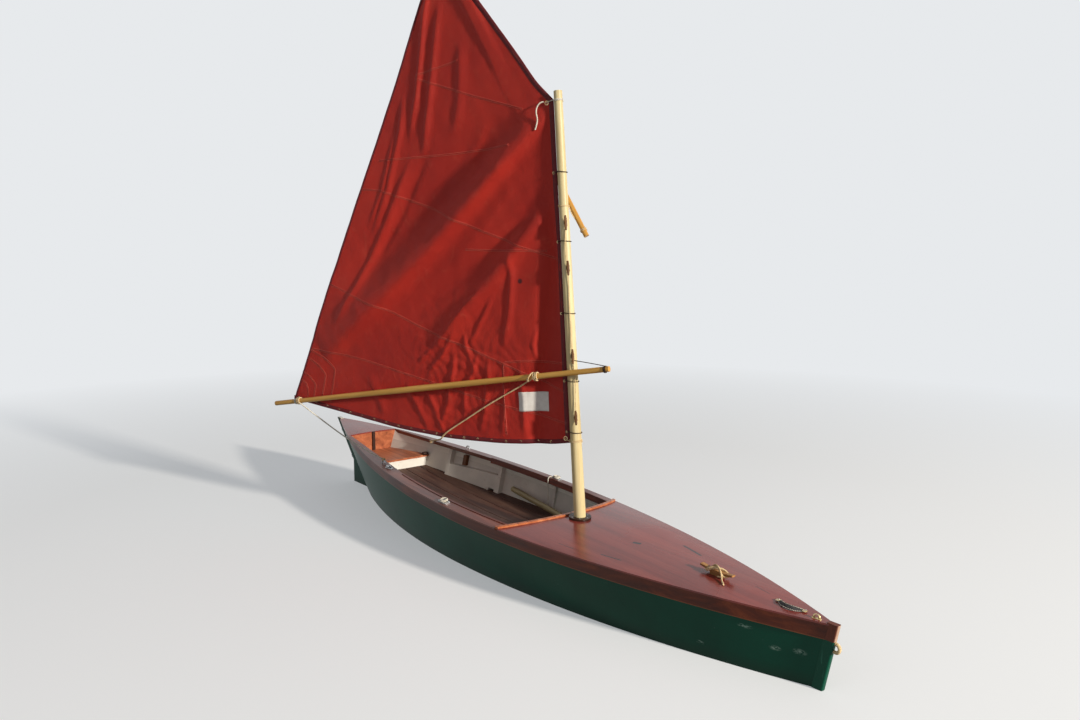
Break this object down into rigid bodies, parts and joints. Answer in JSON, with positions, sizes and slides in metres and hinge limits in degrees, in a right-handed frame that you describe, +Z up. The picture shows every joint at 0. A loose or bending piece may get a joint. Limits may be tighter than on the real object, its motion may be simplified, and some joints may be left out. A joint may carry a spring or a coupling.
{
  "type": "open sailing dinghy with a spritsail",
  "caption": "Narrow double-ended wooden sailing dinghy, decked forward, with a raked mast, sprit boom and four-sided tanbark sail.",
  "frame": {"origin": "on the centreline at the waterline, midway along the hull", "axes": "+X forward to the bow, +Y to port, +Z up"},
  "size_m": [4.8092, 1.3752, 3.8953],
  "materials": {
    "topside_paint": "gloss paint",
    "varnished_mahogany": "gloss varnish",
    "inside_paint": "satin paint",
    "floor_wood": "worn oiled",
    "dark_hardwood": "satin",
    "pale_hardwood": "worn oiled",
    "pale_ash": "satin varnish",
    "black_webbing": "woven",
    "galvanised_steel": "satin",
    "pale_spruce": "satin varnish",
    "golden_spruce": "gloss varnish",
    "tanbark_cloth": "woven"
  },
  "bodies": {
    "hull": {"topside_port": "topside_paint", "topside_starboard": "topside_paint", "bottom_port": "topside_paint", "bottom_starboard": "topside_paint", "keel_and_skeg": "topside_paint", "stem": "topside_paint", "sternpost": "topside_paint", "sheer_strake_port": "varnished_mahogany", "sheer_strake_starboard": "varnished_mahogany", "foredeck": "varnished_mahogany", "side_deck_port": "varnished_mahogany", "side_deck_starboard": "varnished_mahogany", "quarter_deck_port": "varnished_mahogany", "quarter_deck_starboard": "varnished_mahogany", "aft_deck": "varnished_mahogany", "foredeck_trim": "varnished_mahogany", "coaming_port": "varnished_mahogany", "coaming_starboard": "varnished_mahogany", "aft_seat": "varnished_mahogany", "aft_bulkhead": "varnished_mahogany", "eye_backing_port": "varnished_mahogany", "eye_backing_starboard": "varnished_mahogany", "partner_frame": "inside_paint", "fore_frame": "inside_paint", "mid_frame": "inside_paint", "aft_frame": "inside_paint", "riser_port": "inside_paint", "riser_starboard": "inside_paint", "seat_front": "inside_paint", "mast_step": "inside_paint", "floorboards": "floor_wood", "mast_collar": "dark_hardwood", "king_post": "dark_hardwood", "foredeck_cleat": "pale_hardwood", "stowed_oar": "pale_ash", "bow_handle": "black_webbing", "bow_eye": "galvanised_steel", "oarlock_socket_port": "galvanised_steel", "oarlock_socket_starboard": "galvanised_steel", "quarter_eye_port": "galvanised_steel", "quarter_eye_starboard": "galvanised_steel", "gudgeons": "galvanised_steel"},
    "rig": {"mast": "pale_spruce", "boom": "golden_spruce", "sprit": "golden_spruce", "sail": "tanbark_cloth"}
  },
  "joints": [
    {"name": "mast_swing", "type": "hinge", "parent": "hull", "child": "rig", "pos_m": [0.695, 0, 0.38], "axis": [-0.0879, 0, 0.9961], "range_deg": [-107, 63]}
  ]
}
